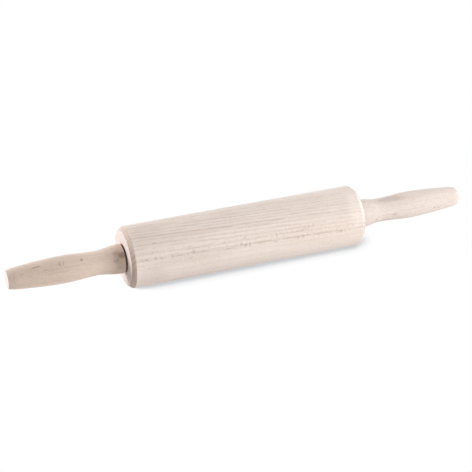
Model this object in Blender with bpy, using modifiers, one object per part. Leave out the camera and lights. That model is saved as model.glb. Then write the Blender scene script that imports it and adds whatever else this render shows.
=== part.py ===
"""Rolling pin with turned handles.

A beech barrel runs freely on a steel rod that joins two beech handles.
Metres, +Z up. The pin lies along X on the lowest flat of its barrel, which is on z = 0,
and X = 0 is the middle of the barrel.
"""

import math

import bpy
from mathutils import Vector
from mathutils.geometry import interpolate_bezier

# Barrel: a straight roller with bevelled ends, drilled through along its axis
BARREL_LENGTH = 0.240
BARREL_RADIUS = 0.030
BEVEL_LENGTH = 0.0040
BEVEL_DEPTH = 0.0032
BEVEL_SOFTNESS = 0.0010
BORE_CLEARANCE = 0.0015

# Handles: a collar against the barrel, a waist, a swell for the palm and a tapered tip
HANDLE_LENGTH = 0.1112
COLLAR_RADIUS = 0.0142
COLLAR_LAND = 0.0025
COLLAR_EDGE_RADIUS = 0.0008
WAIST_AT = 0.0255
WAIST_RADIUS = 0.0116
SWELL_AT = 0.0575
SWELL_RADIUS = 0.0132
TIP_LENGTH = 0.0085
SHOULDER_RADIUS = 0.0104
SHOULDER_SLOPE = -0.095
TIP_RADIUS = 0.0088
TIP_SLOPE = -0.38
TIP_EDGE_RADIUS = 0.0006

# Axle rod, screwed into both handles, each of which holds it over the same depth
ROD_RADIUS = 0.004
ROD_HOLD = 0.040
ROD_CHAMFER = 0.0008
DRILL_POINT = 0.002

# Flanged bushes, sunk flush in the ends of the barrel
BUSH_WALL = 0.0025
BUSH_LENGTH = 0.018
BUSH_FLANGE_WIDTH = 0.003
BUSH_FLANGE_THICKNESS = 0.0018

# Thrust washers, loose on the rod between bush and handle
WASHER_WIDTH = 0.005
WASHER_THICKNESS = 0.001

# Threaded inserts, sunk in the handles, with barbed rings outside
INSERT_WALL = 0.0015
INSERT_LENGTH = 0.016
BARB_COUNT = 4
BARB_HEIGHT = 0.0005
BARB_GROOVE = 0.0007
INSERT_LIP_WIDTH = 0.0012
INSERT_LIP_THICKNESS = 0.0012

# Fits
RUNNING_CLEARANCE = 0.0003
END_FLOAT = 0.0003
SEAT_GAP = 0.0003

# Facets
BARREL_SIDES = 72
HANDLE_SIDES = 44
METAL_SIDES = 32
EDGE_STEPS = 3
CURVE_STEPS = 8
TIP_STEPS = 4

# Joining distance for the points of a turned mesh that meet
MERGE_DISTANCE = 1e-6

# Sizes that follow from the ones above
HALF_BARREL = BARREL_LENGTH / 2
RUNNING_GAP = WASHER_THICKNESS + 2 * END_FLOAT
HANDLE_AT = HALF_BARREL + RUNNING_GAP
SLEEVE_BORE = ROD_RADIUS + RUNNING_CLEARANCE
BUSH_RADIUS = SLEEVE_BORE + BUSH_WALL
BUSH_FLANGE_RADIUS = BUSH_RADIUS + BUSH_FLANGE_WIDTH
INSERT_BORE = ROD_RADIUS + SEAT_GAP
INSERT_RADIUS = INSERT_BORE + INSERT_WALL
BARB_RADIUS = INSERT_RADIUS + BARB_HEIGHT
INSERT_LIP_RADIUS = BARB_RADIUS + INSERT_LIP_WIDTH
AXIS_HEIGHT = BARREL_RADIUS * math.cos(math.pi / BARREL_SIDES)


def clear_scene():
    for obj in list(bpy.data.objects):
        bpy.data.objects.remove(obj, do_unlink=True)


def make_material(name, colour, roughness, metallic=0.0):
    material = bpy.data.materials.new(name)
    material.use_nodes = True
    shader = material.node_tree.nodes["Principled BSDF"]
    shader.inputs["Base Color"].default_value = (*colour, 1.0)
    shader.inputs["Roughness"].default_value = roughness
    shader.inputs["Metallic"].default_value = metallic
    material.diffuse_color = (*colour, 1.0)
    return material


def make_frame(name, collection):
    """An empty on the axis of the pin. Its own Z runs along the pin, towards the right handle."""
    empty = bpy.data.objects.new(name, None)
    empty.empty_display_size = BARREL_RADIUS
    empty.location = (0.0, 0.0, AXIS_HEIGHT)
    empty.rotation_euler = (0.0, math.pi / 2, 0.0)
    collection.objects.link(empty)
    return empty


def turn(name, profile, closed, sides):
    """A turned mesh object. The profile is (radius, height) points, down its outer side.

    A closed profile makes a ring, and an open one starts and ends on the axis.
    """
    mesh = bpy.data.meshes.new(name)
    points = [(radius, 0.0, height) for radius, height in profile]
    edges = [(index, index + 1) for index in range(len(points) - 1)]
    if closed:
        edges.append((len(points) - 1, 0))
    mesh.from_pydata(points, edges, [])
    obj = bpy.data.objects.new(name, mesh)
    screw = obj.modifiers.new("Turn", "SCREW")
    screw.axis = "Z"
    screw.angle = 2 * math.pi
    screw.steps = sides
    screw.render_steps = sides
    screw.use_merge_vertices = True
    screw.merge_threshold = MERGE_DISTANCE
    screw.use_smooth_shade = True
    obj.modifiers.new("Shading", "WEIGHTED_NORMAL")
    return obj


def place(obj, collection, frame, along, material, facing=1, spin=0.0):
    """Sets the piece on the axis, at a distance along it, facing the right end or the left."""
    collection.objects.link(obj)
    obj.parent = frame
    obj.location = (0.0, 0.0, along)
    obj.rotation_euler = (0.0 if facing > 0 else math.pi, 0.0, spin)
    obj.data.materials.append(material)


def rounded_corner(radius, height, size, start, end, steps):
    """Points of an arc round a centre that is inside the corner, between two angles from +X."""
    step = (end - start) / steps
    angles = [start + step * index for index in range(steps + 1)]
    return [(radius + size * math.cos(a), height + size * math.sin(a)) for a in angles]


def smooth_span(start, end, steps):
    """Points after start, up to end, on a curve that leaves and meets each at its slope.

    A station is (distance along the handle, radius, slope).
    """
    third = (end[0] - start[0]) / 3
    knots = (
        Vector((start[1], start[0], 0.0)),
        Vector((start[1] + start[2] * third, start[0] + third, 0.0)),
        Vector((end[1] - end[2] * third, end[0] - third, 0.0)),
        Vector((end[1], end[0], 0.0)),
    )
    return [(point.x, point.y) for point in interpolate_bezier(*knots, steps + 1)[1:]]


def bevel():
    """From the barrel's end face, over a bevel with two softened edges, to the outer side."""
    slope = math.atan2(BEVEL_LENGTH, BEVEL_DEPTH)
    facing = math.pi / 2 - slope
    face_tangent = BEVEL_SOFTNESS * math.tan(slope / 2)
    side_tangent = BEVEL_SOFTNESS * math.tan(facing / 2)
    face_arc_at = (BARREL_RADIUS - BEVEL_DEPTH - face_tangent, HALF_BARREL - BEVEL_SOFTNESS)
    side_arc_at = (BARREL_RADIUS - BEVEL_SOFTNESS, HALF_BARREL - BEVEL_LENGTH - side_tangent)
    face_arc = rounded_corner(*face_arc_at, BEVEL_SOFTNESS, math.pi / 2, facing, EDGE_STEPS)
    side_arc = rounded_corner(*side_arc_at, BEVEL_SOFTNESS, facing, 0.0, EDGE_STEPS)
    return face_arc + side_arc


def barrel_profile():
    """Outer side with its two bevels, then the bore with a seat for a bush at each end."""
    top = bevel()
    flange_seat = BUSH_FLANGE_RADIUS + SEAT_GAP
    flange_depth = HALF_BARREL - BUSH_FLANGE_THICKNESS - SEAT_GAP
    sleeve_seat = BUSH_RADIUS + SEAT_GAP
    sleeve_depth = HALF_BARREL - BUSH_LENGTH - SEAT_GAP
    bore = ROD_RADIUS + BORE_CLEARANCE
    inner = [
        (bore, sleeve_depth),
        (sleeve_seat, sleeve_depth),
        (sleeve_seat, flange_depth),
        (flange_seat, flange_depth),
        (flange_seat, HALF_BARREL),
    ]
    mirrored = [(radius, -height) for radius, height in reversed(top)]
    inner_mirrored = [(radius, -height) for radius, height in reversed(inner)]
    return top + mirrored + inner_mirrored + inner


def handle_profile():
    """From the middle of the tip's face, down the outside to the collar, then up the bore."""
    waist = (WAIST_AT, WAIST_RADIUS, 0.0)
    swell = (SWELL_AT, SWELL_RADIUS, 0.0)
    land = (COLLAR_LAND, COLLAR_RADIUS, 0.0)
    shoulder = (HANDLE_LENGTH - TIP_LENGTH, SHOULDER_RADIUS, SHOULDER_SLOPE)
    tip = (HANDLE_LENGTH - TIP_EDGE_RADIUS, TIP_RADIUS, TIP_SLOPE)
    outside = [(COLLAR_RADIUS, COLLAR_LAND)]
    outside += smooth_span(land, waist, CURVE_STEPS)
    outside += smooth_span(waist, swell, CURVE_STEPS)
    outside += smooth_span(swell, shoulder, CURVE_STEPS)
    outside += smooth_span(shoulder, tip, TIP_STEPS)[:-1]
    tip_arc_at = (TIP_RADIUS - TIP_EDGE_RADIUS, HANDLE_LENGTH - TIP_EDGE_RADIUS)
    tip_arc = rounded_corner(*tip_arc_at, TIP_EDGE_RADIUS, math.pi / 2, 0.0, EDGE_STEPS)
    collar_arc_at = (COLLAR_RADIUS - COLLAR_EDGE_RADIUS, COLLAR_EDGE_RADIUS)
    collar_arc = rounded_corner(*collar_arc_at, COLLAR_EDGE_RADIUS, 0.0, -math.pi / 2, EDGE_STEPS)
    lip_seat = INSERT_LIP_RADIUS + SEAT_GAP
    lip_depth = INSERT_LIP_THICKNESS + SEAT_GAP
    insert_seat = BARB_RADIUS + SEAT_GAP
    insert_depth = INSERT_LENGTH + SEAT_GAP
    rod_hole = ROD_RADIUS + SEAT_GAP
    rod_depth = ROD_HOLD + SEAT_GAP
    bore = [
        (lip_seat, 0.0),
        (lip_seat, lip_depth),
        (insert_seat, lip_depth),
        (insert_seat, insert_depth),
        (rod_hole, insert_depth),
        (rod_hole, rod_depth),
        (0.0, rod_depth + DRILL_POINT),
    ]
    return [(0.0, HANDLE_LENGTH)] + tip_arc + outside[::-1] + collar_arc + bore


def rod_profile():
    half = HANDLE_AT + ROD_HOLD
    inner = ROD_RADIUS - ROD_CHAMFER
    return [
        (0.0, half),
        (inner, half),
        (ROD_RADIUS, half - ROD_CHAMFER),
        (ROD_RADIUS, -half + ROD_CHAMFER),
        (inner, -half),
        (0.0, -half),
    ]


def bush_profile():
    """Flange on top, flush with the end of the barrel, and the sleeve below it."""
    return [
        (SLEEVE_BORE, 0.0),
        (BUSH_FLANGE_RADIUS, 0.0),
        (BUSH_FLANGE_RADIUS, -BUSH_FLANGE_THICKNESS),
        (BUSH_RADIUS, -BUSH_FLANGE_THICKNESS),
        (BUSH_RADIUS, -BUSH_LENGTH),
        (SLEEVE_BORE, -BUSH_LENGTH),
    ]


def washer_profile():
    half = WASHER_THICKNESS / 2
    outer = SLEEVE_BORE + WASHER_WIDTH
    return [(SLEEVE_BORE, half), (outer, half), (outer, -half), (SLEEVE_BORE, -half)]


def insert_profile():
    """A sleeve with a lip at the collar's face and barbed rings that point back towards it."""
    pitch = (INSERT_LENGTH - INSERT_LIP_THICKNESS) / BARB_COUNT
    rings = []
    for index in range(BARB_COUNT):
        top = INSERT_LENGTH - pitch * index
        step = top - pitch + BARB_GROOVE
        rings += [(INSERT_RADIUS, top), (BARB_RADIUS, step), (INSERT_RADIUS, step)]
    lip = [
        (INSERT_RADIUS, INSERT_LIP_THICKNESS),
        (INSERT_LIP_RADIUS, INSERT_LIP_THICKNESS),
        (INSERT_LIP_RADIUS, 0.0),
        (INSERT_BORE, 0.0),
    ]
    return [(INSERT_BORE, INSERT_LENGTH)] + rings + lip


def build():
    clear_scene()
    collection = bpy.data.collections.new("rolling_pin")
    bpy.context.scene.collection.children.link(collection)

    barrel_frame = make_frame("barrel_frame", collection)
    axle_frame = make_frame("axle_frame", collection)

    barrel_wood = make_material("barrel_beech", (0.76, 0.66, 0.59), 0.55)
    handle_wood = make_material("handle_beech", (0.70, 0.59, 0.51), 0.55)
    steel = make_material("rod_steel", (0.62, 0.62, 0.63), 0.28, 1.0)
    nylon = make_material("bush_nylon", (0.83, 0.81, 0.76), 0.40)
    washer_steel = make_material("washer_steel", (0.55, 0.55, 0.56), 0.35, 1.0)
    brass = make_material("insert_brass", (0.75, 0.58, 0.27), 0.30, 1.0)

    barrel = turn("barrel", barrel_profile(), True, BARREL_SIDES)
    flat_down = math.pi / BARREL_SIDES
    place(barrel, collection, barrel_frame, 0.0, barrel_wood, spin=flat_down)
    rod = turn("axle_rod", rod_profile(), False, METAL_SIDES)
    place(rod, collection, axle_frame, 0.0, steel)

    washer_at = HALF_BARREL + END_FLOAT + WASHER_THICKNESS / 2
    for side, facing in (("left", -1), ("right", 1)):
        bush = turn(f"{side}_bush", bush_profile(), True, METAL_SIDES)
        place(bush, collection, barrel_frame, facing * HALF_BARREL, nylon, facing)
        washer = turn(f"{side}_thrust_washer", washer_profile(), True, METAL_SIDES)
        place(washer, collection, axle_frame, facing * washer_at, washer_steel, facing)
        insert = turn(f"{side}_handle_insert", insert_profile(), True, METAL_SIDES)
        place(insert, collection, axle_frame, facing * HANDLE_AT, brass, facing)
        handle = turn(f"{side}_handle", handle_profile(), False, HANDLE_SIDES)
        place(handle, collection, axle_frame, facing * HANDLE_AT, handle_wood, facing)


build()
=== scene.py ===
"""Rolling pin with turned handles: the looks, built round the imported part.

Metres, +Z up, in the part's own frame. The pin lies along X on its barrel, and X = 0 is
the middle of the barrel. Each turned piece has its own X axis on the pin's.
"""

import math
from functools import partial, reduce

import bmesh
import bpy
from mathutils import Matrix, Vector
from mathutils.geometry import interpolate_bezier


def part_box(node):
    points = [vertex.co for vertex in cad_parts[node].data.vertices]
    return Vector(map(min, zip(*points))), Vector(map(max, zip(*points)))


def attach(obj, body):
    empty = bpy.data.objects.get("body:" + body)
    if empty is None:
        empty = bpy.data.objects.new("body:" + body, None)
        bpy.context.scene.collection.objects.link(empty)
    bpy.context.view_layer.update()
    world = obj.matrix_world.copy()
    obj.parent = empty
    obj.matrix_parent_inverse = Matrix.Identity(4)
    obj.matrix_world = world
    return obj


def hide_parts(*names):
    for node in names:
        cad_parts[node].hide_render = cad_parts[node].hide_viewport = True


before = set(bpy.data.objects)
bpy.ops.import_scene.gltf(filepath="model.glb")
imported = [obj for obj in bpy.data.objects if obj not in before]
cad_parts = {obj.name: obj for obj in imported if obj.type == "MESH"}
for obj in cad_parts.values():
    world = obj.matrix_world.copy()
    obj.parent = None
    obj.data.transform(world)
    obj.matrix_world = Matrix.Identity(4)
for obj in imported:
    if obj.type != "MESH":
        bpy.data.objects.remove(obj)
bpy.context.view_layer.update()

MM = 0.001

# Places and overall sizes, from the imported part
BARREL_LOW, BARREL_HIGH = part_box("barrel")
HANDLE_LOW, HANDLE_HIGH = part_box("right_handle")
AXIS_HEIGHT = (BARREL_LOW.z + BARREL_HIGH.z) / 2
BARREL_RADIUS = (BARREL_HIGH.z - BARREL_LOW.z) / 2
HALF_BARREL = BARREL_HIGH.x
HANDLE_AT = HANDLE_LOW.x
HANDLE_LENGTH = HANDLE_HIGH.x - HANDLE_LOW.x

# Barrel: bevelled ends, and the bore with its stepped seats
BEVEL_LENGTH = 4.0 * MM
BEVEL_DEPTH = 3.2 * MM
BEVEL_SOFTNESS = 1.0 * MM
BORE_RADIUS = 5.5 * MM
SLEEVE_SEAT_RADIUS = 7.1 * MM
SLEEVE_SEAT_DEPTH = 18.3 * MM
FLANGE_SEAT_RADIUS = 10.1 * MM
FLANGE_SEAT_DEPTH = 2.1 * MM

# Handles: stations along the outside, from the collar's face
COLLAR_RADIUS = 14.2 * MM
COLLAR_LAND = 2.5 * MM
COLLAR_EDGE_RADIUS = 0.8 * MM
WAIST_AT = 25.5 * MM
WAIST_RADIUS = 11.6 * MM
SWELL_AT = 57.5 * MM
SWELL_RADIUS = 13.2 * MM
TIP_LENGTH = 8.5 * MM
SHOULDER_RADIUS = 10.4 * MM
SHOULDER_SLOPE = -0.095
TIP_RADIUS = 8.8 * MM
TIP_SLOPE = -0.38
TIP_EDGE_RADIUS = 0.6 * MM

# Handle bore: seats for the insert's lip and body, then the rod's hole
LIP_SEAT_RADIUS = 7.8 * MM
LIP_SEAT_DEPTH = 1.5 * MM
INSERT_SEAT_RADIUS = 6.6 * MM
INSERT_SEAT_DEPTH = 16.3 * MM
ROD_HOLE_RADIUS = 4.3 * MM
ROD_HOLE_DEPTH = 40.3 * MM
DRILL_POINT = 2.0 * MM

# Rod, bushes that the barrel turns on, and washers, with the broken edges of turned parts
ROD_RADIUS = 4.0 * MM
ROD_CHAMFER = 0.8 * MM
ROD_HOLD = 40.0 * MM
EDGE_BREAK = 0.25 * MM
BUSH_BORE_RADIUS = 4.3 * MM
BUSH_RADIUS = 6.8 * MM
BUSH_LENGTH = 18.0 * MM
BUSH_FLANGE_RADIUS = 9.8 * MM
BUSH_FLANGE_THICKNESS = 1.8 * MM
WASHER_BORE_RADIUS = 4.3 * MM
WASHER_RADIUS = 9.3 * MM
WASHER_THICKNESS = 1.0 * MM
END_FLOAT = 0.3 * MM

# Threaded inserts, with barbed rings outside, and the thread that they share with the rod
INSERT_BORE_RADIUS = 4.3 * MM
INSERT_RADIUS = 5.8 * MM
INSERT_LENGTH = 16.0 * MM
BARB_RADIUS = 6.3 * MM
BARB_COUNT = 4
BARB_GROOVE = 0.7 * MM
INSERT_LIP_RADIUS = 7.5 * MM
INSERT_LIP_THICKNESS = 1.2 * MM
THREAD_PITCH = 1.25 * MM
THREAD_DEPTH = 0.6 * MM
THREAD_GAP = 0.12 * MM

# Fineness of the turned meshes
BARREL_SIDES = 256
HANDLE_SIDES = 160
SMALL_SIDES = 64
EDGE_STEPS = 6
CURVE_STEPS = 28
RINGS_IN_A_PITCH = 8
SHARP_ANGLE = math.radians(35)

# Camera, as fitted to the photograph, whose frame is FRAME_PIXELS wide. Here and for the
# lamps, angles are in degrees, and an azimuth starts at the front, -Y, and goes towards +X.
FRAME_PIXELS = 472
CAMERA_AZIMUTH = -20.98
CAMERA_ELEVATION = 29.34
CAMERA_DISTANCE = 1.440
CAMERA_TARGET = Vector((-6.0 * MM, 0.0, AXIS_HEIGHT + 0.9 * MM))
FOCAL_PIXELS = 1483.8
SENSOR_WIDTH = 36

# Studio light. A lamp is (name, azimuth, elevation, power in watts).
SKY_LIGHT = 0.402
LAMPS = (("key", 45, 15, 18.1), ("side", -120, 15, 21.0), ("back", 135, 50, 4.9))
LAMP_DISTANCE = 1.6
LAMP_SIZE = 0.6

# Floor: its shade lies towards the right, away from the brighter side
FLOOR_REACH = 3.0
FLOOR_GREY = 0.8
SHADE_TONE = (0.0, 0.02, 0.06, 1.0)
SHADE_REACH = 36 * MM
SHADE_LEAN = (-0.8, 0.0, 0.5)
SHADE_FALL = 6.0
SHADE_DEPTH = 9.5
SHADE_START = 0.01
DEEPEST_SHADE = 0.42
SHADE_SAMPLES = 32

WHITE = (1.0, 1.0, 1.0, 1.0)


class Graph:
    """Adds shader nodes to a node tree and joins them, so that a pattern reads as a formula."""

    def __init__(self, owner):
        owner.use_nodes = True
        self.tree = owner.node_tree
        self.shader = self.tree.nodes.get("Principled BSDF")

    def node(self, kind, inputs=None, **settings):
        node = self.tree.nodes.new(kind)
        for setting, value in settings.items():
            setattr(node, setting, value)
        for socket, value in (inputs or {}).items():
            self.feed(node.inputs[socket], value)
        return node

    def feed(self, socket, value):
        if isinstance(value, bpy.types.NodeSocket):
            self.tree.links.new(value, socket)
        else:
            socket.default_value = value

    def math(self, operation, *values):
        inputs = dict(enumerate(values))
        return self.node("ShaderNodeMath", inputs, operation=operation).outputs[0]

    def total(self, *values):
        return reduce(partial(self.math, "ADD"), values)

    def product(self, *values):
        return reduce(partial(self.math, "MULTIPLY"), values)

    def vector(self, operation, *values):
        inputs = dict(enumerate(values))
        node = self.node("ShaderNodeVectorMath", inputs, operation=operation)
        return node.outputs["Value" if operation in ("LENGTH", "DOT_PRODUCT") else "Vector"]

    def scale(self, vector, factor):
        inputs = {"Vector": vector, "Scale": factor}
        return self.node("ShaderNodeVectorMath", inputs, operation="SCALE").outputs[0]

    def roll(self, vector, angle):
        """The vector turned about the X axis."""
        inputs = {"Vector": vector, "Angle": angle}
        return self.node("ShaderNodeVectorRotate", inputs, rotation_type="X_AXIS").outputs[0]

    def parts(self, vector):
        return self.node("ShaderNodeSeparateXYZ", {0: vector}).outputs[:3]

    def join(self, *values):
        return self.node("ShaderNodeCombineXYZ", dict(enumerate(values))).outputs[0]

    def stretch(self, vector, sizes):
        """The vector divided by three sizes, so a texture's grain is that large along each axis."""
        return self.vector("MULTIPLY", vector, tuple(1 / size for size in sizes))

    def noise(self, vector, sizes, detail=2.0):
        """Smooth noise about 0, from roughly -0.5 to 0.5, of a size along each axis."""
        inputs = {"Vector": self.stretch(vector, sizes), "Scale": 1.0, "Detail": detail}
        value = self.node("ShaderNodeTexNoise", inputs).outputs[0]
        return self.math("SUBTRACT", value, 0.5)

    def smooth(self, value, low, high):
        """0 below low, 1 above high, and a smooth step between; the other way if low > high."""
        inputs = {"Value": value, "From Min": low, "From Max": high}
        node = self.node("ShaderNodeMapRange", inputs, interpolation_type="SMOOTHSTEP")
        return node.outputs[0]

    def specks(self, vector, sizes, edge, core, rarity):
        """Separate spots of uneven strength, one at most in each cell of the three sizes."""
        inputs = {"Vector": self.stretch(vector, sizes), "Scale": 1.0, "Randomness": 1.0}
        cells = self.node("ShaderNodeTexVoronoi", inputs)
        chance = self.node("ShaderNodeSeparateColor", {0: cells.outputs["Color"]}).outputs[0]
        spot = self.smooth(cells.outputs["Distance"], edge, core)
        return self.product(spot, self.smooth(chance, rarity, 1.0))

    def mix(self, factor, first, second, **settings):
        """From the first colour at factor 0 to the second at 1.

        The sockets are numbered, since the node repeats their names for each kind of value.
        """
        inputs = {0: factor, 6: first, 7: second}
        return self.node("ShaderNodeMix", inputs, data_type="RGBA", **settings).outputs[2]

    def darken(self, colour, amount, share):
        """The colour where the amount is 0, and that share of its light where it is 1.

        The share is for red, green and blue. An amount below 0 makes the colour lighter.
        """
        kept = self.mix(amount, WHITE, (*share, 1.0), clamp_factor=False)
        return self.vector("MULTIPLY", colour, kept)

    def bump(self, height, distance, strength):
        inputs = {"Height": height, "Distance": distance, "Strength": strength}
        self.feed(self.shader.inputs["Normal"], self.node("ShaderNodeBump", inputs).outputs[0])


def linear(red, green, blue):
    """A shader colour from 8-bit screen values, by the sRGB curve."""
    channels = []
    for value in (red, green, blue):
        share = value / 255
        if share <= 0.04045:
            channels.append(share / 12.92)
        else:
            channels.append(((share + 0.055) / 1.055) ** 2.4)
    return (*channels, 1.0)


def add_object(name, data):
    obj = bpy.data.objects.new(name, data)
    bpy.context.scene.collection.objects.link(obj)
    return obj


def add_ring(shape, x, radius, sides, thread):
    """The vertices of one ring round the X axis, or a single one where the radius is 0."""
    if radius == 0:
        return [shape.verts.new((x, 0.0, 0.0))]
    ring = []
    for index in range(sides):
        angle = 2 * math.pi * index / sides
        size = thread(x, angle) if radius is None else radius
        ring.append(shape.verts.new((x, size * math.cos(angle), size * math.sin(angle))))
    return ring


def turned(name, profile, sides, facing=1, closed=False, thread=None):
    """A turned mesh round its own X axis, facing the right end or, with -1, the left.

    The profile is (along, radius) points. A closed profile makes a ring, and an open one
    starts and ends on the axis. A thread gives the radius, from (x, angle), of each point
    whose radius in the profile is None.
    """
    shape = bmesh.new()
    rings = [add_ring(shape, along * facing, radius, sides, thread) for along, radius in profile]
    pairs = list(zip(rings, rings[1:]))
    if closed:
        pairs.append((rings[-1], rings[0]))
    for first, second in pairs:
        for index in range(sides):
            after = (index + 1) % sides
            corners = [first[index % len(first)], first[after % len(first)]]
            corners += [second[after % len(second)], second[index % len(second)]]
            shape.faces.new(list(dict.fromkeys(corners)))
    bmesh.ops.recalc_face_normals(shape, faces=shape.faces)
    mesh = bpy.data.meshes.new(name)
    shape.to_mesh(mesh)
    shape.free()
    mesh.shade_smooth()
    mesh.set_sharp_from_angle(angle=SHARP_ANGLE)
    return add_object(name, mesh)


def arc(along, radius, size, start, end, steps):
    """Points of an arc about (along, radius), between two angles from +X, in degrees."""
    points = []
    for index in range(steps + 1):
        angle = math.radians(start + (end - start) * index / steps)
        points.append((along + size * math.cos(angle), radius + size * math.sin(angle)))
    return points


def smooth_span(start, end, steps):
    """Points after start, up to end, on a curve that leaves and meets each at its slope.

    A station is (along, radius, slope).
    """
    third = (end[0] - start[0]) / 3
    knots = (
        Vector((start[0], start[1], 0.0)),
        Vector((start[0] + third, start[1] + start[2] * third, 0.0)),
        Vector((end[0] - third, end[1] - end[2] * third, 0.0)),
        Vector((end[0], end[1], 0.0)),
    )
    return [(point.x, point.y) for point in interpolate_bezier(*knots, steps + 1)[1:]]


def thread_radius(x, angle, start=0.0, gap=0.0):
    """The surface of a right-hand thread along the pin, or a gap outside it.

    The x is of a piece that starts at that place on the pin.
    """
    turn = 2 * math.pi * (start + x) / THREAD_PITCH - angle
    return ROD_RADIUS - THREAD_DEPTH * (0.5 - 0.5 * math.cos(turn)) + gap


def threaded_span(start, end):
    """Profile points whose radius is left to the thread."""
    steps = round(abs(end - start) / THREAD_PITCH * RINGS_IN_A_PITCH)
    return [(start + (end - start) * index / steps, None) for index in range(steps + 1)]


def broken_corner(along, radius, before, after):
    """A corner with its edge broken, coming from one direction and leaving in another."""
    first = (along - before[0] * EDGE_BREAK, radius - before[1] * EDGE_BREAK)
    last = (along + after[0] * EDGE_BREAK, radius + after[1] * EDGE_BREAK)
    return [first, last]


def mirrored(half):
    """The profile of a right half, and back along its mirror copy on the left."""
    return half + [(-along, radius) for along, radius in reversed(half)]


def barrel_profile():
    """From the outer side over the right end's bevel into the bore, and mirrored."""
    facing = math.degrees(math.atan2(BEVEL_LENGTH, BEVEL_DEPTH))
    soft = BEVEL_SOFTNESS
    side_arc_at = HALF_BARREL - BEVEL_LENGTH - soft * math.tan(math.radians(90 - facing) / 2)
    face_arc_at = BARREL_RADIUS - BEVEL_DEPTH - soft * math.tan(math.radians(facing) / 2)
    outside = arc(side_arc_at, BARREL_RADIUS - soft, soft, 90, facing, EDGE_STEPS)
    outside += arc(HALF_BARREL - soft, face_arc_at, soft, facing, 0, EDGE_STEPS)
    seats = [
        (HALF_BARREL, FLANGE_SEAT_RADIUS),
        (HALF_BARREL - FLANGE_SEAT_DEPTH, FLANGE_SEAT_RADIUS),
        (HALF_BARREL - FLANGE_SEAT_DEPTH, SLEEVE_SEAT_RADIUS),
        (HALF_BARREL - SLEEVE_SEAT_DEPTH, SLEEVE_SEAT_RADIUS),
        (HALF_BARREL - SLEEVE_SEAT_DEPTH, BORE_RADIUS),
    ]
    return mirrored(outside + seats)


def handle_profile():
    """From the middle of the tip's face, down the outside to the collar, then up the bore."""
    land = (COLLAR_LAND, COLLAR_RADIUS, 0.0)
    waist = (WAIST_AT, WAIST_RADIUS, 0.0)
    swell = (SWELL_AT, SWELL_RADIUS, 0.0)
    shoulder = (HANDLE_LENGTH - TIP_LENGTH, SHOULDER_RADIUS, SHOULDER_SLOPE)
    tip = (HANDLE_LENGTH - TIP_EDGE_RADIUS, TIP_RADIUS, TIP_SLOPE)
    outside = [(COLLAR_LAND, COLLAR_RADIUS)]
    outside += smooth_span(land, waist, CURVE_STEPS)
    outside += smooth_span(waist, swell, CURVE_STEPS)
    outside += smooth_span(swell, shoulder, CURVE_STEPS)
    outside += smooth_span(shoulder, tip, EDGE_STEPS)[:-1]
    tip_edge = arc(
        HANDLE_LENGTH - TIP_EDGE_RADIUS, TIP_RADIUS - TIP_EDGE_RADIUS,
        TIP_EDGE_RADIUS, 0, 90, EDGE_STEPS,
    )
    collar_edge = arc(
        COLLAR_EDGE_RADIUS, COLLAR_RADIUS - COLLAR_EDGE_RADIUS,
        COLLAR_EDGE_RADIUS, 90, 180, EDGE_STEPS,
    )
    bore = [
        (0.0, LIP_SEAT_RADIUS),
        (LIP_SEAT_DEPTH, LIP_SEAT_RADIUS),
        (LIP_SEAT_DEPTH, INSERT_SEAT_RADIUS),
        (INSERT_SEAT_DEPTH, INSERT_SEAT_RADIUS),
        (INSERT_SEAT_DEPTH, ROD_HOLE_RADIUS),
        (ROD_HOLE_DEPTH, ROD_HOLE_RADIUS),
        (ROD_HOLE_DEPTH + DRILL_POINT, 0.0),
    ]
    return [(HANDLE_LENGTH, 0.0)] + tip_edge + outside[::-1] + collar_edge + bore


def rod_profile():
    """Chamfered ends, and a thread over the length that each handle holds."""
    half = HANDLE_AT + ROD_HOLD
    runout = HANDLE_AT + THREAD_PITCH
    right = [(half, 0.0), (half, ROD_RADIUS - ROD_CHAMFER)]
    right += threaded_span(half - ROD_CHAMFER, runout)
    right += [(HANDLE_AT, ROD_RADIUS)]
    return mirrored(right)


def bush_profile():
    """Flange at the barrel's end face, and the sleeve inward from it."""
    flange_back = -BUSH_FLANGE_THICKNESS
    profile = broken_corner(0.0, BUSH_BORE_RADIUS, (1, 0), (0, 1))
    profile += broken_corner(0.0, BUSH_FLANGE_RADIUS, (0, 1), (-1, 0))
    profile += broken_corner(flange_back, BUSH_FLANGE_RADIUS, (-1, 0), (0, -1))
    profile += [(flange_back, BUSH_RADIUS)]
    profile += broken_corner(-BUSH_LENGTH, BUSH_RADIUS, (-1, 0), (0, -1))
    profile += broken_corner(-BUSH_LENGTH, BUSH_BORE_RADIUS, (0, -1), (1, 0))
    return profile


def washer_profile():
    """A punched ring: rounded by the die on its outer face, and crisp on the other."""
    profile = broken_corner(WASHER_THICKNESS, WASHER_BORE_RADIUS, (1, 0), (0, 1))
    profile += broken_corner(WASHER_THICKNESS, WASHER_RADIUS, (0, 1), (-1, 0))
    profile += [(0.0, WASHER_RADIUS), (0.0, WASHER_BORE_RADIUS)]
    return profile


def insert_profile():
    """A threaded sleeve with a lip at the collar's face and barbs that point back towards it."""
    pitch = (INSERT_LENGTH - INSERT_LIP_THICKNESS) / BARB_COUNT
    barbs = []
    for index in range(BARB_COUNT):
        top = INSERT_LENGTH - pitch * index
        step = top - pitch + BARB_GROOVE
        barbs += [(top, INSERT_RADIUS), (step, BARB_RADIUS), (step, INSERT_RADIUS)]
    lip = [(INSERT_LIP_THICKNESS, INSERT_RADIUS)]
    lip += broken_corner(INSERT_LIP_THICKNESS, INSERT_LIP_RADIUS, (0, 1), (-1, 0))
    lip += broken_corner(0.0, INSERT_LIP_RADIUS, (-1, 0), (0, -1))
    countersink = THREAD_DEPTH / 2
    bore = [(0.0, INSERT_BORE_RADIUS)]
    bore += threaded_span(countersink, INSERT_LENGTH - countersink)
    bore += [(INSERT_LENGTH, INSERT_BORE_RADIUS)]
    return barbs + lip + bore


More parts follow.
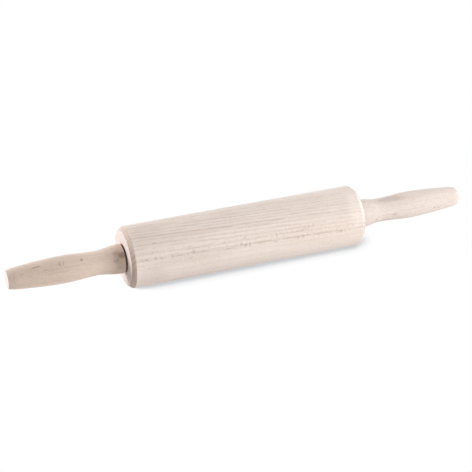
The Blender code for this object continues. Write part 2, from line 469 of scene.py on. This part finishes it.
# Beech tones: the turned sides, the end grain of edges, and the end faces, painted dark
# brown where a collar sits against the barrel, as shade in the gap between them
PALE = linear(238, 225, 217)
WARM = linear(234, 219, 208)
# Painted shade: darker end grain, for the shaded bevel at the barrel's left end; also on the left
# handle's tip
SHADED_DARK_CUT = linear(215, 196, 183)
# Painted highlight: paler end grain, for the brightly lit bevel at the barrel's right end and the
# collars' edges; also on the right handle's tip
LIT_FAIR_CUT = linear(228, 220, 213)
END_FACE = linear(224, 212, 206)
# Painted shade: a darker face for the far ends, the barrel's right end and the right handle's tip,
# which the key lamp lights strongly
SHADED_END_FACE = linear(210, 194, 182)
PALE_TIP_FACE = linear(226, 214, 208)
# Painted shade: dark brown on end faces round a collar, for the shaded gap between the collar and the
# barrel
GAP_SHADE_FACE = linear(172, 130, 104)

# The share of its red, green and blue light that the wood keeps in each darker feature
LATEWOOD = (0.72, 0.65, 0.60)
STREAK = (0.79, 0.74, 0.71)
RAY = (0.48, 0.35, 0.26)
# Painted shade too: the barrel's shade marks and some handle marks darken by this share, and paler
# ones lift the colour by it
STAIN_AND_PAINTED_SHADE = (0.40, 0.27, 0.20)

# How strongly each of these shows. Rings and marks have strengths of their own.
DARK_LINE_STRENGTH = 0.35
STREAK_STRENGTH = 0.28
RAY_STRENGTH = 0.16
FLECK_STRENGTH = 0.32


class Timber:
    """The wood that a piece is turned from, in millimetres round the piece's own axis.

    The pith is where the tree's middle lies, (y, z) from that axis. For each millimetre along
    the piece it moves by lean, and the grain turns by twist, in degrees. Rings go round it, and
    rays are thin sheets that point at it, so both show as they do on each cut of real wood.
    The seed moves the patterns, so that pieces differ. Along runs towards the end that the
    piece faces, 1 for right and -1 for left. A feature is 0 where there is none of it.
    """

    def __init__(self, g, pith, ring_width, lean, twist, seed, facing):
        self.g = g
        coordinates = g.node("ShaderNodeTexCoord")
        self.place = g.scale(coordinates.outputs["Object"], 1 / MM)
        self.normal = coordinates.outputs["Normal"]
        self.along = g.product(g.parts(self.place)[0], facing)

        turn = g.product(self.along, math.radians(twist))
        inside = g.roll(self.place, turn)
        self.grain = g.vector("ADD", inside, seed)
        middle = g.vector("MULTIPLY_ADD", self.along, (0, *lean), (0, *pith))
        outward = g.vector("MULTIPLY", g.vector("SUBTRACT", inside, middle), (0, 1, 1))
        from_pith = g.vector("LENGTH", outward)
        self.growth = self.years_of_growth(outward, from_pith, ring_width)
        self.age = g.math("FRACT", self.growth)
        self.year = g.math("FLOOR", self.growth)

        across, upward = g.parts(outward)[1:]
        round_pith = g.product(g.math("ARCTAN2", upward, across), math.hypot(*pith))
        self.ray_place = g.join(self.along, round_pith, from_pith)

        cut = g.roll(self.normal, turn)
        along_rings = g.vector("DOT_PRODUCT", cut, g.vector("NORMALIZE", outward))
        self.across_rings = g.smooth(g.math("ABSOLUTE", along_rings), 0.97, 0.6)
        dashes = g.smooth(g.noise(self.grain, (14, 2.5, 2.5)), -0.2, 0.15)
        self.broken = g.total(g.product(dashes, 0.75), 0.25)

        across_fibres = g.math("ABSOLUTE", g.parts(self.normal)[0])
        self.end_grain = g.smooth(across_fibres, 0.18, 0.6)
        self.end_face = g.smooth(across_fibres, 0.965, 0.998)

    def years_of_growth(self, outward, from_pith, ring_width):
        """Years from the pith outward, with rings that wander, ripple and vary in width."""
        g = self.g
        wander = g.product(g.noise(self.grain, (110, 30, 30)), 2.2)
        ripple = g.product(g.noise(self.grain, (11, 4, 4)), 0.9)
        season = g.product(g.noise(outward, (1, 5, 5)), 2.4)
        unevenness = g.total(wander, ripple, season)
        return g.math("DIVIDE", g.total(from_pith, unevenness), ring_width)

    def rings(self, figure):
        """Each year's darker latewood, bolder in some years and fading towards the far end."""
        g = self.g
        late = g.product(g.smooth(self.age, 0.3, 0.82), g.smooth(self.age, 1.0, 0.88))
        chance = g.node("ShaderNodeTexWhiteNoise", {"W": self.year}, noise_dimensions="1D")
        boldness = g.total(g.product(chance.outputs[0], 0.38), 0.35)
        fading = g.product(g.smooth(self.along, 20, 110), -0.35 * figure)
        boldness = g.product(boldness, g.total(fading, figure))
        return g.product(late, boldness, self.across_rings, self.broken)

    def dark_line(self, dark_year):
        """The one ring that stands out."""
        g = self.g
        is_dark = g.math("COMPARE", self.year, dark_year, 0.5)
        late = g.product(g.smooth(self.age, 0.3, 0.7), g.smooth(self.age, 1.0, 0.8))
        return g.product(is_dark, late, self.broken)

    def flecks(self, dark_year):
        """Larger rays on the pith's side of the dark line, in a band that widens to the far end."""
        g = self.g
        years_in = g.math("SUBTRACT", self.growth, dark_year)
        spread = g.total(years_in, g.product(g.smooth(self.along, 20, 60), 1.4))
        gathering = g.product(g.smooth(spread, -2.4, 0.9), g.smooth(years_in, 1.3, 1.0))
        return g.product(g.specks(self.ray_place, (2.2, 3.0, 9), 0.42, 0.12, 0.05), gathering)

    def fine_rays(self):
        return self.g.specks(self.ray_place, (2.6, 0.7, 3), 0.32, 0.16, 0.3)

    def streaks(self):
        return self.g.smooth(self.g.noise(self.grain, (90, 1.6, 1.6), 3.0), -0.02, 0.22)

    def side_colour(self, tint):
        """The turned side: pale and warm in clouds, and scaled by the tint."""
        g = self.g
        cloud = g.smooth(g.noise(self.grain, (70, 24, 24)), -0.3, 0.3)
        return g.vector("MULTIPLY", g.mix(cloud, PALE, WARM), tint)

    def with_ends(self, colour, edges, faces, gap_shade_radius):
        """The colour, with end grain where the surface cuts across the fibres."""
        g = self.g
        far_half = g.smooth(self.along, 10, 60)
        from_axis = g.vector("LENGTH", g.vector("MULTIPLY", self.place, (0, 1, 1)))
        # Painted shade: the end faces turn dark brown inside this radius, round the collar, for the
        # shaded gap
        gap_shade = g.smooth(from_axis, gap_shade_radius, gap_shade_radius - 0.8)
        face = g.mix(gap_shade, g.mix(far_half, *faces), GAP_SHADE_FACE)
        # End grain of the edges: the near and far tones are painted shade and painted highlight
        colour = g.mix(self.end_grain, colour, g.mix(far_half, *edges))
        return g.mix(self.end_face, colour, face)

    def stains_and_painted_light(self, marks):
        """Soft oval marks, on all but the end faces: stains, and painted shade and painted light.

        A mark is (angle above the front, along, length, width, strength).
        """
        g = self.g
        y, z = g.parts(self.place)[1:]
        front_angle = g.product(g.math("ARCTAN2", z, g.product(y, -1)), 180 / math.pi)
        stained = 0.0
        for angle, at, length, width, strength in marks:
            side = g.product(g.math("SUBTRACT", front_angle, angle), 2 / width)
            end = g.product(g.math("SUBTRACT", self.along, at), 2 / length)
            reach = g.total(g.product(side, side), g.product(end, end))
            stained = g.total(stained, g.product(g.smooth(reach, 1.0, 0.0), strength))
        return g.product(stained, g.math("SUBTRACT", 1.0, self.end_face))


def beech(
    name, pith, ring_width, tint, edges, faces,
    lean=(0, 0), twist=0, seed=(0, 0, 0), facing=1, dark_year=0, figure=1.0, gap_shade_radius=0, marks=(),
):
    """Bare beech. Timber says what the pith, lean and twist are, and what a mark is.

    The tint scales the three colours. The edges and faces are the tones of end grain at the
    near end and the far one, some of them painted shade and painted highlight, and end faces
    are painted dark brown inside the given radius, in millimetres, as shade in a collar's gap.
    The figure is how boldly the rings show. Flecks gather beside the dark year.
    """
    material = bpy.data.materials.new(name)
    g = Graph(material)
    wood = Timber(g, pith, ring_width, lean, twist, seed, facing)
    rings = wood.rings(figure)
    fine_rays = wood.fine_rays()

    colour = wood.with_ends(wood.side_colour(tint), edges, faces, gap_shade_radius)
    colour = g.darken(colour, rings, LATEWOOD)
    colour = g.darken(colour, g.product(wood.dark_line(dark_year), DARK_LINE_STRENGTH), LATEWOOD)
    colour = g.darken(colour, g.product(wood.streaks(), STREAK_STRENGTH), STREAK)
    colour = g.darken(colour, g.product(fine_rays, RAY_STRENGTH), RAY)
    colour = g.darken(colour, g.product(wood.flecks(dark_year), FLECK_STRENGTH), RAY)
    colour = g.darken(colour, wood.stains_and_painted_light(marks), STAIN_AND_PAINTED_SHADE)

    fibre = g.noise(wood.grain, (7, 0.28, 0.28))
    tool_lines = g.noise(wood.grain, (0.7, 60, 60), 3.0)
    mottle = g.noise(wood.grain, (2.4, 0.9, 0.9), 1.0)
    level = g.total(
        g.product(fibre, 0.09), g.product(tool_lines, 0.05), g.product(mottle, 0.24), 1.0,
    )
    g.feed(g.shader.inputs["Base Color"], g.scale(colour, level))
    g.feed(g.shader.inputs["Roughness"], g.total(g.product(fibre, 0.15), 0.7))
    g.shader.inputs["Specular IOR Level"].default_value = 0.2
    g.shader.inputs["Sheen Weight"].default_value = 0.2
    g.shader.inputs["Sheen Roughness"].default_value = 0.4
    height = g.total(
        g.product(fibre, 0.6), g.product(rings, -0.5), g.product(fine_rays, -0.5),
        g.product(tool_lines, 0.6),
    )
    g.bump(height, 0.02 * MM, 0.6)
    return material


def machined(name, bright, dull, roughness, tool_marks, metallic=1.0):
    """Turned, drawn or moulded stock.

    The tool marks are the size of its fine lines along each axis, in millimetres.
    """
    material = bpy.data.materials.new(name)
    g = Graph(material)
    place = g.scale(g.node("ShaderNodeTexCoord").outputs["Object"], 1 / MM)
    lines = g.noise(place, tool_marks, 3.0)
    cloud = g.smooth(g.noise(place, (7, 5, 5), 3.0), -0.25, 0.25)
    worn = g.total(cloud, g.product(lines, 0.5))
    g.feed(g.shader.inputs["Base Color"], g.mix(worn, dull, bright))
    rough = g.total(g.product(lines, 0.2), g.product(cloud, -0.08), roughness)
    g.feed(g.shader.inputs["Roughness"], rough)
    g.shader.inputs["Metallic"].default_value = metallic
    g.bump(lines, 0.01 * MM, 0.5)
    return material


def fit(piece, material, along, node, body):
    """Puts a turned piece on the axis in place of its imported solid, on the body that carries it."""
    piece.location = (along, 0.0, AXIS_HEIGHT)
    piece.data.materials.append(material)
    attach(piece, body)
    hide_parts(node)


# Marks on the wood, and painted light and shade, set after the photograph: (angle above
# the front in degrees, along in mm, length in mm, width in degrees, strength). Below 0 the
# wood is paler there.
BARREL_MARKS = (
    (19.5, -106, 5, 6, 0.28), (16, -103, 4, 4, 0.18), (19.5, -97, 4, 9, 0.26),
    (18, -91.5, 5, 6, 0.14), (19, -80.5, 4, 9, 0.22), (17, -74, 12, 5, 0.14),
    (18.5, -59.5, 4, 12, 0.24), (9, -62, 8, 3.5, 0.20), (47, -96, 4, 5, 0.20),
    (30, -63, 5, 5, 0.16), (25, -28, 3, 8, 0.20), (12, -25, 12, 3.5, 0.26),
    (16, -11.5, 3, 9, 0.30), (12.5, -7, 3.5, 9, 0.32), (12.5, -3, 2.5, 9, 0.28),
    (27, -7, 4.5, 7, 0.16), (9, 23.5, 6, 5, 0.26), (20, 25, 1.8, 20, 0.20),
    (7.5, 46.5, 3.5, 9, 0.20), (8, 52, 3.5, 9, 0.24), (21.5, 52, 4.5, 6, 0.22),
    (17, 61.5, 2, 12, 0.16), (8, 68, 10, 6, 0.14), (4, 92.5, 5, 5, 0.32),
)
# Painted light and shade on the barrel: bands along its front and upper side made darker and paler,
# the bevel's front and the bottom darker, and the right end's rim and the top edge paler
BARREL_PAINTED_LIGHT = (
    (89, -95, 60, 9, 0.06), (16, -119.6, 7, 110, 0.26), (44, 113, 26, 90, -0.14),
    (118, 70, 140, 60, -0.12), (8, -58, 120, 26, 0.11), (-16, -101, 36, 54, 0.12),
    (78, -99, 40, 60, 0.10), (38, -20, 220, 24, -0.07), (85, -15, 60, 40, 0.06),
)
LEFT_HANDLE_MARKS = (
    (64, 84.2, 12, 8.5, 0.50), (57, 40.9, 4.2, 17, 0.48), (56, 62.1, 3, 26, 0.32),
    (54.5, 58.7, 2.4, 24, 0.26), (41, 76.3, 6, 9, 0.20), (43, 98.4, 5, 11, 0.18),
    (15, 106, 2, 80, 0.16), (15, 103.2, 1.6, 70, 0.12), (41, 105, 2, 34, 0.12),
    (43, 2.6, 10, 34, 0.56), (56, 8, 9, 24, 0.20), (25, 9.5, 8, 24, 0.28),
    (25, 4, 14, 110, 0.10), (20, 118, 150, 400, 0.17), (50, 56, 56, 200, 0.07),
    # Painted light: the underside made paler
    (-44, 80, 90, 40, -0.16),
)
RIGHT_HANDLE_MARKS = (
    (79, 36, 38, 42, 0.22), (66, 46, 22, 26, 0.10), (-9.7, 82.3, 3.4, 14, 0.42),
    (-16.6, 87.3, 3.4, 14, 0.38), (-15.5, 17.7, 3.4, 14, 0.42), (-6.4, 37.4, 7, 13, 0.34),
    (14, 68, 2.4, 18, 0.12), (21, 72, 2.4, 18, 0.12), (12, 100, 120, 60, 0.05),
    # The last mark is painted light: the top beside the collar made paler
    (25, 3, 34, 170, 0.08), (106, 15, 34, 60, -0.22),
)


def add_barrel():
    wood = beech(
        "barrel_wood", pith=(61, 51), ring_width=3.27, tint=(1, 1, 1),
        edges=(SHADED_DARK_CUT, LIT_FAIR_CUT), faces=(END_FACE, SHADED_END_FACE),
        lean=(-0.015, 0.046), twist=-0.10, dark_year=30,
        gap_shade_radius=COLLAR_RADIUS / MM, marks=BARREL_MARKS + BARREL_PAINTED_LIGHT,
    )
    barrel = turned("beech_barrel", barrel_profile(), BARREL_SIDES, closed=True)
    fit(barrel, wood, 0.0, "barrel", "barrel")


def add_handles():
    left_wood = beech(
        "left_handle_wood", pith=(30, 50), ring_width=2.1, tint=(0.92, 0.86, 0.81),
        edges=(LIT_FAIR_CUT, SHADED_DARK_CUT), faces=(GAP_SHADE_FACE, PALE_TIP_FACE),
        lean=(0.01, 0), seed=(40, 0, 0), facing=-1, figure=0.4, marks=LEFT_HANDLE_MARKS,
    )
    right_wood = beech(
        "right_handle_wood", pith=(-45, 40), ring_width=2.3, tint=(0.94, 0.94, 0.94),
        edges=(LIT_FAIR_CUT, LIT_FAIR_CUT), faces=(GAP_SHADE_FACE, SHADED_END_FACE),
        seed=(90, 30, 0), figure=0.45, marks=RIGHT_HANDLE_MARKS,
    )
    for side, facing, wood in (("left", -1, left_wood), ("right", 1, right_wood)):
        handle = turned(f"{side}_beech_handle", handle_profile(), HANDLE_SIDES, facing)
        fit(handle, wood, facing * HANDLE_AT, f"{side}_handle", "handle_set")


def add_axle():
    """The rod and what sits on it: hidden in the whole pin, and seen when a part is taken out."""
    drawn = machined(
        "drawn_steel", linear(206, 207, 210), linear(176, 177, 180),
        roughness=0.28, tool_marks=(9, 0.12, 0.12),
    )
    punched = machined(
        "punched_steel", linear(192, 193, 195), linear(158, 158, 160),
        roughness=0.36, tool_marks=(0.5, 1.4, 0.3),
    )
    brass = machined(
        "turned_brass", linear(226, 198, 130), linear(196, 160, 92),
        roughness=0.3, tool_marks=(0.14, 30, 30),
    )
    nylon = machined(
        "natural_nylon", linear(236, 232, 222), linear(224, 218, 204),
        roughness=0.42, tool_marks=(2, 1.2, 1.2), metallic=0.0,
    )
    rod = turned("drawn_rod", rod_profile(), SMALL_SIDES, thread=thread_radius)
    fit(rod, drawn, 0.0, "axle_rod", "handle_set")
    for side, facing in (("left", -1), ("right", 1)):
        bush = turned(f"{side}_nylon_bush", bush_profile(), SMALL_SIDES, facing, closed=True)
        fit(bush, nylon, facing * HALF_BARREL, f"{side}_bush", "barrel")
        washer = turned(f"{side}_steel_washer", washer_profile(), SMALL_SIDES, facing, closed=True)
        washer_at = facing * (HALF_BARREL + END_FLOAT)
        fit(washer, punched, washer_at, f"{side}_thrust_washer", "handle_set")
        at = facing * HANDLE_AT
        insert = turned(
            f"{side}_brass_insert", insert_profile(), SMALL_SIDES, facing, closed=True,
            thread=partial(thread_radius, start=at, gap=THREAD_GAP),
        )
        fit(insert, brass, at, f"{side}_handle_insert", "handle_set")


def seen_directly(g):
    """1 for what the camera sees, also in a mirror or through glass, and 0 for light on the pin."""
    rays = g.node("ShaderNodeLightPath").outputs
    bounced = g.math("MAXIMUM", rays["Is Glossy Ray"], rays["Is Transmission Ray"])
    return g.math("MAXIMUM", rays["Is Camera Ray"], bounced)


def floor_shade(g):
    """How deep the floor's shade is, from how much of the sky the pin covers there."""
    lean = g.vector("NORMALIZE", g.join(*SHADE_LEAN))
    inputs = {"Distance": SHADE_REACH, "Normal": lean}
    openness = g.node("ShaderNodeAmbientOcclusion", inputs, samples=SHADE_SAMPLES).outputs["AO"]
    cover = g.math("POWER", g.math("SUBTRACT", 1.0, openness), SHADE_FALL)
    cover = g.math("MAXIMUM", g.math("SUBTRACT", cover, SHADE_START), 0.0)
    return g.math("MINIMUM", g.product(cover, SHADE_DEPTH), DEEPEST_SHADE)


def add_floor():
    """White where it is seen, with a soft shade by the pin, and grey for the light on the pin."""
    near, far = -FLOOR_REACH, FLOOR_REACH
    corners = [(near, near, 0.0), (far, near, 0.0), (far, far, 0.0), (near, far, 0.0)]
    mesh = bpy.data.meshes.new("floor")
    mesh.from_pydata(corners, [], [(0, 1, 2, 3)])
    floor = add_object("floor", mesh)
    material = bpy.data.materials.new("floor_white")
    g = Graph(material)
    g.tree.nodes.remove(g.shader)
    grey = (FLOOR_GREY, FLOOR_GREY, FLOOR_GREY, 1.0)
    diffuse = g.node("ShaderNodeBsdfDiffuse", {"Color": grey}).outputs[0]
    tone = g.mix(floor_shade(g), WHITE, SHADE_TONE)
    glow = g.node("ShaderNodeEmission", {"Color": tone, "Strength": 1.0}).outputs[0]
    both = g.node("ShaderNodeMixShader", {0: seen_directly(g), 1: diffuse, 2: glow})
    g.feed(g.tree.nodes["Material Output"].inputs["Surface"], both.outputs[0])
    mesh.materials.append(material)


def add_world():
    """White where it is seen, and as bright as the sky light for the light on the pin."""
    world = bpy.data.worlds.new("studio")
    bpy.context.scene.world = world
    g = Graph(world)
    inputs = {"Value": seen_directly(g), "To Min": SKY_LIGHT, "To Max": 1.0}
    strength = g.node("ShaderNodeMapRange", inputs).outputs[0]
    background = g.tree.nodes["Background"]
    background.inputs["Color"].default_value = WHITE
    g.feed(background.inputs["Strength"], strength)


def place_at(obj, target, azimuth, elevation, distance):
    """Puts a lamp or a camera at a distance from the target, and turns it to face the target."""
    turn = math.radians(azimuth)
    rise = math.radians(elevation)
    level = math.cos(rise)
    away = Vector((math.sin(turn) * level, -math.cos(turn) * level, math.sin(rise)))
    obj.location = target + distance * away
    obj.rotation_euler = away.to_track_quat("Z", "Y").to_euler()


def add_lamp(name, azimuth, elevation, power):
    """A square soft box that faces the pin."""
    light = bpy.data.lights.new(name, "AREA")
    light.shape = "SQUARE"
    light.size = LAMP_SIZE
    light.energy = power
    lamp = add_object(name, light)
    lamp.visible_camera = False
    place_at(lamp, Vector((0.0, 0.0, AXIS_HEIGHT)), azimuth, elevation, LAMP_DISTANCE)


def add_camera():
    data = bpy.data.cameras.new("camera")
    data.sensor_width = SENSOR_WIDTH
    data.lens = FOCAL_PIXELS / FRAME_PIXELS * SENSOR_WIDTH
    camera = add_object("camera", data)
    place_at(camera, CAMERA_TARGET, CAMERA_AZIMUTH, CAMERA_ELEVATION, CAMERA_DISTANCE)
    bpy.context.scene.camera = camera


def build():
    add_barrel()
    add_handles()
    add_axle()
    add_floor()
    add_world()
    for lamp in LAMPS:
        add_lamp(*lamp)
    add_camera()
    bpy.context.scene.view_settings.view_transform = "Standard"


build()
